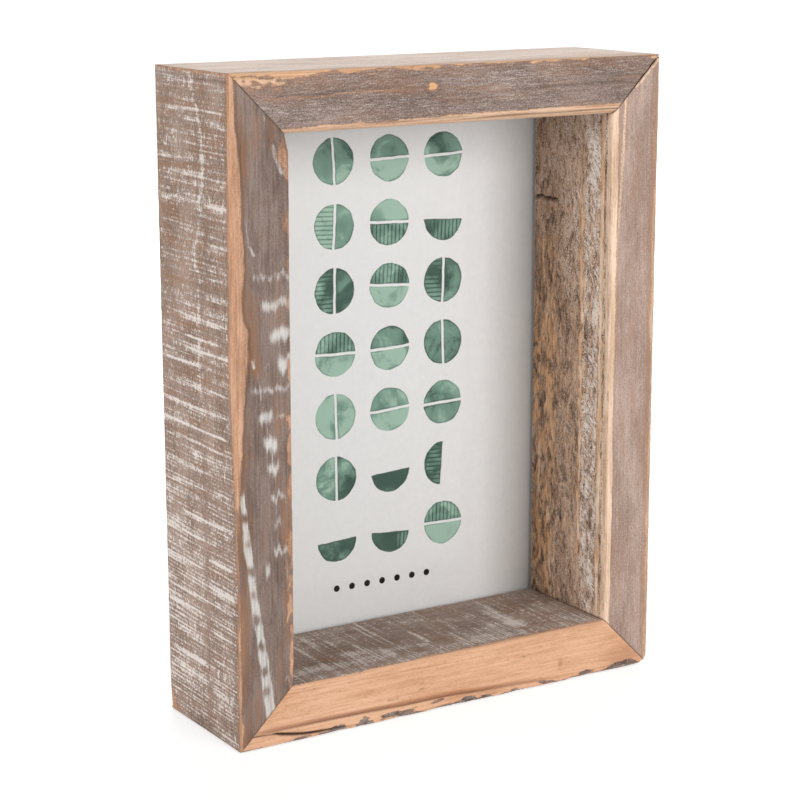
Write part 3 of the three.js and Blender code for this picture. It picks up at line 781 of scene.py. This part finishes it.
def wash_field(g, layer, marks, place, speck, warm_share):
    """Where whitewash lies first, as its marks run."""
    if marks == "across":
        lines = layer(29, 1.2, 0.03, 3.0, 0.65)
        ticks = layer(31, 0.34, 0.85, 3.0, 0.7, 1.0)
        curls = layer(37, 0.3, 0.5, 2.0, 0.5, 0.8)
        curled = g.step(g.math("ABSOLUTE", g.minus(curls, 0.5)), 0.045, 0.0)
        sway = layer(41, 0.08, 0.014)
        run = g.parts(place)["X"]
        phase = g.weigh(run, 2 * math.pi / SAW_PITCH, g.times(sway, 22.0))
        teeth = g.times(g.math("SINE", phase), g.weigh(g.step(warm_share, 0.42, 0.26), 0.06, 0.02))
        field = g.total((lines, 0.8), (ticks, 0.58), (speck, 0.45))
        return g.plus(g.weigh(curled, 0.16, field), teeth)
    if marks == "curled":
        turned = g.turned(place, 0.8, "Y_AXIS")
        flecks = layer(29, 0.3, 0.95, 4.0, 0.68, 1.3, turned)
        return g.total((flecks, 1.5), (speck, 0.5))
    if marks == "combed":
        comb = layer(29, 0.1, 1.5, 3.0, 0.6)
        return g.total((comb, 1.4), (speck, 0.45))
    scratch = layer(29, 0.2, 2.2, 4.0, 0.65, 0.3)
    return g.total((scratch, 1.05), (speck, 0.65))


# The level whitewash is cut at, by its share of the surface: (slope, start, softness)
WASH_LEVELS = {
    "along": (-0.44, 0.76, 0.16),
    "across": (-0.5, 0.8, 0.15),
    "combed": (-0.8, 0.75, 0.65),
    "curled": (-0.5, 0.82, 0.14),
}


def weathered(name, stain, offset, pine=PINE, wash=WHITEWASH, cover=0.8, marks="along", deep=RUST,
              patchy=0.4, fibrous=(0.06, 1.4, 0.9), streaky=0.5, veil=0.25, grit=1.0, rings=0.25,
              relief=0.3):
    """Stained pine with whitewash in its marks, worn to bare wood where the wear layer says."""
    g = new_graph(name)
    place = g.attribute("place").outputs["Vector"]
    wear = g.attribute("wear")
    masks = g.node("SeparateColor", {0: wear.outputs["Color"]})
    bare_share, white_share, dark_share = masks.outputs[:3]
    warm_share = wear.outputs["Alpha"]

    def layer(number, lengthwise, crosswise, detail=3.0, roughness=0.55, distortion=0.0, at=place):
        stretch = (lengthwise, crosswise, crosswise)
        return g.noise(at, stretch, detail, roughness, distortion, offset + number)

    lengthwise, crosswise, fibre_tone = fibrous
    fibre = layer(0, lengthwise, crosswise, 4.0, 0.6, 0.3)
    grain = layer(7, 0.6, 3.4, 3.0, 0.65)
    speck = layer(11, 1.9, 2.1, 3.0, 0.7)
    cloud = layer(13, 0.04, 0.1, 3.0, 0.6)

    tone = g.total((fibre, fibre_tone), (cloud, 1.2), (grain, 0.8 * grit), (speck, 1.2 * grit))
    stained = g.mix(g.step(tone, 0.1, 0.9), srgb(*stain[0]), srgb(*stain[1]))
    band = (0.22, 0.05) if marks == "across" else (0.04, 0.18)
    patches = layer(17, *band, 4.0, 0.65)
    warmth = g.step(g.weigh(warm_share, 0.5, patches), 0.6, 0.92)
    stained = g.mix(g.times(warmth, patchy), stained, RUST)

    slope, start, softness = WASH_LEVELS[marks]
    field = wash_field(g, layer, marks, place, speck, warm_share)
    level = g.weigh(white_share, slope, start)
    excess = g.minus(field, level)
    washed = g.math("DIVIDE", excess, softness, clamp=True)
    thinly = g.times(g.math("DIVIDE", g.plus(excess, 0.12), 0.3, clamp=True), veil)
    colour = g.mix(g.math("MAXIMUM", g.times(washed, cover), thinly), stained, wash)

    lines = g.math("SINE", g.times(layer(19, 0.006, 0.16, 1.0), 60.0))
    lines = g.weigh(lines, 0.5, 0.5)
    figure = g.total((fibre, 0.8), (grain, 0.5), (cloud, 0.7), (lines, rings), (speck, 0.4))
    wood = g.mix(g.step(figure, 0.15, 0.8), pine[0], pine[1])
    wood = g.mix(g.times(g.step(warm_share, 0.5, 1.0), 0.68), wood, deep)
    worn = g.total((bare_share, 1.0), (speck, 0.8), (fibre, streaky))
    tanned = [(a + b) / 2 for a, b in zip(pine[0], RUST)]
    thin = g.mix(0.55, colour, tanned)
    colour = g.mix(g.step(worn, 0.1, 0.5), colour, thin)
    colour = g.mix(g.step(worn, 0.4, 0.86), colour, wood)

    pores = g.times(g.step(grain, 0.42, 0.28), 0.16 * grit)
    shade = g.math("ADD", pores, dark_share, clamp=True)
    # Pores and the dark mask (grime, joints and some painted shade) darken the colour towards dark brown
    colour = g.mix(shade, colour, GRIME_AND_SHADE)

    height = g.total((fibre, 0.8), (grain, 0.6), (speck, 0.6), (washed, 0.1))
    height = g.minus(height, g.times(dark_share, 0.8))
    return g.finish(colour, 0.82, height, relief, 0.0004, Specular_IOR_Level=0.25)


def nail_slots():
    """The V nails' solids grown by NAIL_ROOM, and drawn out through the boards' back face."""
    verts, faces = [], []
    for name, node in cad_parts.items():
        if not name.startswith("v_nail"):
            continue
        places = [tuple(round(c, 7) for c in vertex.co) for vertex in node.data.vertices]
        back = max(place[1] for place in places) - SAME_PLACE
        pushes = {}
        for polygon in node.data.polygons:
            for index in polygon.vertices:
                push = pushes.setdefault(places[index], Vector((0, 0, 0)))
                if polygon.normal.dot(push.normalized()) < SAME_WAY:
                    pushes[places[index]] = push + polygon.normal
        number = {place: len(verts) + i for i, place in enumerate(pushes)}
        for place, push in pushes.items():
            grown = Vector(place) + push.normalized() * NAIL_ROOM * MM
            if place[1] > back:
                grown.y = cad_box[1].y
            verts.append(grown)
        faces += [[number[places[index]] for index in polygon.vertices] for polygon in node.data.polygons]
    mesh = bpy.data.meshes.new("nail_slots")
    mesh.from_pydata(verts, [], faces)
    mesh.uv_layers.new(name="OFBake")
    return add_object("nail_slots", mesh)


def cut_nail_slots(boards):
    """Opens the boards' backs over the V nails, a hair wider than each nail."""
    cutter = nail_slots()
    for board in boards:
        cut = board.modifiers.new("nail_slots", "BOOLEAN")
        cut.operation, cut.solver, cut.object = "DIFFERENCE", "MANIFOLD", cutter
        graph = bpy.context.evaluated_depsgraph_get()
        made = bpy.data.meshes.new_from_object(
            board.evaluated_get(graph), preserve_all_data_layers=True, depsgraph=graph
        )
        board.modifiers.clear()
        solid = board.data
        board.data = made
        bpy.data.meshes.remove(solid)
    bpy.data.objects.remove(cutter)


SIDE_STAIN = ((136, 114, 101), (176, 154, 140))
HIDDEN_STAIN = ((128, 106, 93), (162, 142, 130))
PLAIN_STAIN = ((118, 96, 80), (164, 140, 122))
# Each face's look. The faces left out are plain.
LOOKS = {
    "left_front": dict(
        offset=110, stain=((102, 84, 75), (152, 134, 125)), wash=COOL_WASH, cover=0.95,
        marks="combed", patchy=0.7, veil=0.1, grit=0.6, rings=0.12,
    ),
    "left_outer": dict(
        offset=120, stain=((124, 102, 88), (172, 149, 135)), wash=CHALK, cover=0.9,
        marks="across", patchy=0.55, grit=1.4, rings=0.12,
    ),
    "left_inner": dict(offset=130, stain=HIDDEN_STAIN),
    "right_front": dict(
        offset=210, stain=((146, 122, 109), (190, 166, 154)), pine=PALE_PINE, deep=GOLD,
        cover=0.45, veil=0.2, grit=1.1,
    ),
    "right_outer": dict(offset=220, stain=SIDE_STAIN, wash=CHALK, marks="across"),
    "right_inner": dict(
        offset=230, stain=((104, 79, 62), (248, 222, 200)), pine=PALE_PINE, deep=GOLD,
        wash=CHALK, cover=0.9, marks="curled", fibrous=(0.2, 0.95, 1.8), streaky=2.0,
        grit=1.9, relief=0.9,
    ),
    "top_front": dict(
        offset=310, stain=((106, 88, 79), (156, 137, 128)), pine=CREAM_PINE, deep=GOLD,
        cover=0.42, patchy=0.35, veil=0.22, grit=1.5,
    ),
    "top_outer": dict(
        offset=320, stain=((204, 175, 154), (251, 229, 213)), pine=CREAM_PINE, wash=CHALK
    ),
    "top_inner": dict(offset=330, stain=HIDDEN_STAIN, pine=CREAM_PINE),
    "bottom_front": dict(
        offset=410, stain=((96, 82, 76), (150, 134, 126)), pine=SOFT_PINE, deep=DEEP_RUST,
        rings=0.12, relief=0.2,
    ),
    "bottom_outer": dict(offset=420, stain=SIDE_STAIN, wash=CHALK, marks="across"),
    "bottom_inner": dict(
        offset=430, stain=((134, 114, 101), (180, 161, 149)), pine=SOFT_PINE, wash=CHALK,
        cover=0.85, marks="across", veil=0.3, grit=1.3,
    ),
}


def add_boards():
    plain = weathered("wood_back", PLAIN_STAIN, 900)
    boards = {side: add_board(side, WEAR[side]) for side in SIDES}
    for side, board in boards.items():
        for face in FACES:
            look = LOOKS.get(f"{side}_{face}")
            board.data.materials.append(weathered(f"wood_{side}_{face}", **look) if look else plain)
    cut_nail_slots(boards.values())
    for side, board in boards.items():
        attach(board, BODY)
        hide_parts(f"board_{side}")


# The print, the glass and the backing

PAPER_LOW, PAPER = srgb(231, 231, 230), srgb(235, 235, 234)
GREENS = (srgb(162, 193, 175), srgb(112, 147, 130), srgb(56, 84, 72))
INK = srgb(24, 20, 17)
# The print's generic design: rows of painted discs, each in two halves, over a row of dots
DISC_COLUMNS, DISC_ROWS = 3, 7
DISC_PITCH = 21.2
DISC_RADIUS = 7.6
DISC_CORNER = (-28.4, 37.6)
DISC_TILT = 0.16
WHOLE_DISCS = 0.72
UNHATCHED_DISCS = 0.55
HATCH_TURNS = 4.2
DOT_COUNT = 7
DOT_PITCH = 6.0
DOT_RADIUS = 1.15
DOT_ROW_START = (-21.0, 28.0)


def in_cells(g, x, z, corner, pitch, columns, rows):
    """A grid's cell numbers, the place in the cell from its middle, and 1 inside the grid."""
    numbers, places, fits = [], [], []
    for value, start, count in ((x, corner[0], columns), (z, corner[1], rows)):
        cells = g.math("DIVIDE", g.minus(value, start), pitch)
        numbers.append(g.math("FLOOR", cells))
        places.append(g.times(g.minus(g.minus(cells, numbers[-1]), 0.5), pitch))
        above = g.math("GREATER_THAN", cells, 0.0)
        fits.append(g.times(above, g.math("LESS_THAN", cells, float(count))))
    return numbers, g.flat(*places), g.times(*fits)


def print_material():
    g = new_graph("print_paper")
    place = g.place()
    fibre = g.noise(place, (900.0,) * 3, 3.0)
    colour = g.mix(g.step(fibre, 0.3, 0.7), PAPER_LOW, PAPER)
    parts = g.parts(place)
    x, z = g.math("DIVIDE", parts["X"], MM), g.math("DIVIDE", parts["Z"], MM)

    cell, local, inside = in_cells(g, x, z, DISC_CORNER, DISC_PITCH, DISC_COLUMNS, DISC_ROWS)
    draw = g.node("TexWhiteNoise", {"Vector": g.flat(*cell)}, noise_dimensions="3D").outputs["Color"]
    first, second, third = g.node("SeparateColor", {0: draw}).outputs[:3]
    turn = g.times(g.math("FLOOR", g.times(first, 4.0)), math.pi / 2)
    turn = g.plus(turn, g.times(g.minus(second, 0.5), DISC_TILT))
    across, up = g.parts(g.turned(local, turn, "Z_AXIS"))[:2]

    wobble = g.times(g.minus(g.noise(place, (160.0,) * 3, 3.0), 0.5), 1.6)
    away = g.plus(g.length(local), wobble)
    seam = g.plus(up, g.times(wobble, 0.6))
    disc = g.times(g.step(away, DISC_RADIUS + 0.12, DISC_RADIUS - 0.12), inside)
    half_a = g.times(disc, g.step(seam, 0.35, 0.6))
    half_b = g.times(disc, g.step(seam, -0.35, -0.6))
    half_b = g.times(half_b, g.math("LESS_THAN", third, WHOLE_DISCS))

    pool = g.noise(place, (75.0,) * 3, 4.0, 0.6, 0.8)
    blot = g.noise(place, (260.0,) * 3, 3.0)
    rim = g.step(away, DISC_RADIUS - 0.7, DISC_RADIUS - 0.1)
    edge = g.step(g.math("ABSOLUTE", seam), 1.1, 0.45)
    wet = g.math("MAXIMUM", rim, edge)
    hatch = g.math("SINE", g.times(across, HATCH_TURNS))
    hatched = g.times(g.step(hatch, 0.3, 0.8), g.math("GREATER_THAN", second, UNHATCHED_DISCS))
    for half, lean, tint in ((half_a, 0.12, third), (half_b, -0.1, first)):
        depth = g.plus(g.weigh(pool, 3.0, lean - 1.95), g.times(tint, 0.9))
        depth = g.weigh(blot, 0.8, g.plus(depth, g.times(wet, 0.4)))
        if half is half_a:
            depth = g.plus(depth, g.times(hatched, 0.55))
        paint = g.mix(g.step(depth, 0.0, 0.55), GREENS[0], GREENS[1])
        paint = g.mix(g.step(depth, 0.55, 1.15), paint, GREENS[2])
        colour = g.mix(half, colour, paint)

    _, centre, on_row = in_cells(g, x, z, DOT_ROW_START, DOT_PITCH, DOT_COUNT, 1)
    dot = g.step(g.length(centre), DOT_RADIUS + 0.08, DOT_RADIUS - 0.08)
    colour = g.mix(g.times(dot, on_row), colour, INK)
    return g.finish(colour, 0.75, fibre, 0.05, 0.00005, Specular_IOR_Level=0.1)


def glass_material():
    """Clear glass that lets light and shadow through. The photo's pane mirrors next to nothing."""
    g = new_graph("clear_glass")
    inputs = {"Base Color": (0.995, 0.995, 0.995, 1), "Roughness": 0.0, "IOR": 1.2}
    pane = g.node("BsdfPrincipled", {**inputs, "Transmission Weight": 1.0})
    through = g.node("BsdfTransparent", {"Color": (0.985, 0.985, 0.985, 1)})
    rays = g.node("LightPath").outputs
    lit = g.math("MAXIMUM", rays["Is Shadow Ray"], rays["Is Diffuse Ray"])
    return g.surface(g.node("MixShader", {0: lit, 1: pane.outputs[0], 2: through.outputs[0]}))


def backing_material():
    g = new_graph("fibreboard")
    place = g.place()
    fuzz = g.noise(place, (700.0,) * 3, 4.0, 0.65)
    cloud = g.noise(place, (18.0,) * 3, 2.0)
    tone = g.plus(g.times(fuzz, 0.8), g.times(cloud, 0.4))
    colour = g.mix(g.step(tone, 0.4, 0.8), srgb(112, 80, 56), srgb(150, 112, 82))
    return g.finish(colour, 0.7, fuzz, 0.25, 0.0002)


def steel_material():
    g = new_graph("zinc_steel")
    place = g.place()
    cloud = g.noise(place, (160.0,) * 3, 3.0)
    scratches = g.noise(place, (300.0, 4000.0, 2600.0), 2.0)
    colour = g.mix(cloud, srgb(168, 170, 172), srgb(206, 207, 206))
    return g.finish(colour, g.weigh(cloud, 0.25, 0.25), scratches, 0.05, 0.00005, Metallic=1.0)


def dress(prefixes, material, rounding=0.0):
    """Gives the named CAD nodes a material and small rounded edges."""
    for name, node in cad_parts.items():
        if name.startswith(prefixes):
            node.data.materials.clear()
            node.data.materials.append(material)
            if rounding:
                weld = node.modifiers.new("weld", "WELD")
                weld.merge_threshold = 1e-6
                bevel = node.modifiers.new("bevel", "BEVEL")
                bevel.width, bevel.segments = rounding * MM, 2
                bevel.limit_method, bevel.angle_limit = "ANGLE", math.radians(40)
                bevel.use_clamp_overlap = True


# The studio

FLOOR_SIZE = 40.0
FLOOR_DROP = 0.0003
SKY_LIGHT = 0.28
LAMPS = {
    # name: (degrees round from the front to the right, degrees up, metres away, width, height, watts)
    "key": (13, 12, 1.6, 0.8, 1.0, 16.0),
    "side": (-76, 10, 1.8, 0.5, 0.9, 17.5),
    "back": (145, 40, 1.8, 1.0, 1.0, 18.0),
}


def camera_sees(g):
    """1 for the rays that show a surface itself: straight, mirrored or through glass."""
    rays = g.node("LightPath").outputs
    seen = g.math("MAXIMUM", rays["Is Camera Ray"], rays["Is Glossy Ray"])
    return g.math("MAXIMUM", seen, rays["Is Transmission Ray"])


def add_floor():
    g = new_graph("studio_floor")
    levels = {"From Min": 0.25, "From Max": 1.2, "To Min": 0.66, "To Max": 0.95}
    glow_level = g.node("MapRange", {"Value": g.length(g.place()), **levels})
    plain = g.node("BsdfDiffuse", {"Color": srgb(243, 243, 243)})
    shown = g.node("BsdfDiffuse", {"Color": (0.6, 0.6, 0.6, 1)})
    glow = g.node("Emission", {"Strength": glow_level.outputs[0]})
    lit = g.node("AddShader", {0: shown.outputs[0], 1: glow.outputs[0]})
    inputs = {0: camera_sees(g), 1: plain.outputs[0], 2: lit.outputs[0]}

    mesh = bpy.data.meshes.new("floor")
    edge = FLOOR_SIZE / 2
    corners = [(-edge, -edge, 0), (edge, -edge, 0), (edge, edge, 0), (-edge, edge, 0)]
    mesh.from_pydata(corners, [], [(0, 1, 2, 3)])
    mesh.materials.append(g.surface(g.node("MixShader", inputs)))
    floor = add_object("floor", mesh)
    floor.location.z = cad_box[0].z - FLOOR_DROP


def add_world():
    world = bpy.data.worlds.new("studio")
    bpy.context.scene.world = world
    g = Graph(world)
    strength = g.node("MapRange", {"Value": camera_sees(g), "To Min": SKY_LIGHT, "To Max": 1.0})
    sky = g.node("Background", {"Color": (1, 1, 1, 1), "Strength": strength.outputs[0]})
    g.node("OutputWorld", {"Surface": sky.outputs[0]})


def add_lamps():
    middle = Vector((0, 0, HEIGHT * MM / 2))
    for name, (turn, rise, away, width, height, watts) in LAMPS.items():
        data = bpy.data.lights.new(name, "AREA")
        data.shape = "RECTANGLE"
        data.size, data.size_y = width, height
        data.energy = watts
        turn, rise = math.radians(turn), math.radians(rise)
        level = math.cos(rise)
        way = Vector((math.sin(turn) * level, -math.cos(turn) * level, math.sin(rise)))
        lamp = add_object(name, data)
        lamp.location = middle + way * away
        lamp.rotation_mode = "QUATERNION"
        lamp.rotation_quaternion = (-way).to_track_quat("-Z", "Y")


bpy.context.scene.view_settings.view_transform = "Standard"
add_camera()
add_boards()
dress(("print_sheet",), print_material())
dress(("glass_pane",), glass_material())
dress(("backing_board",), backing_material())
steel = steel_material()
dress(("v_nail", "button_screw", "hanger_pin"), steel)
dress(("turn_button", "sawtooth_hanger"), steel, 0.12)
add_floor()
add_world()
add_lamps()
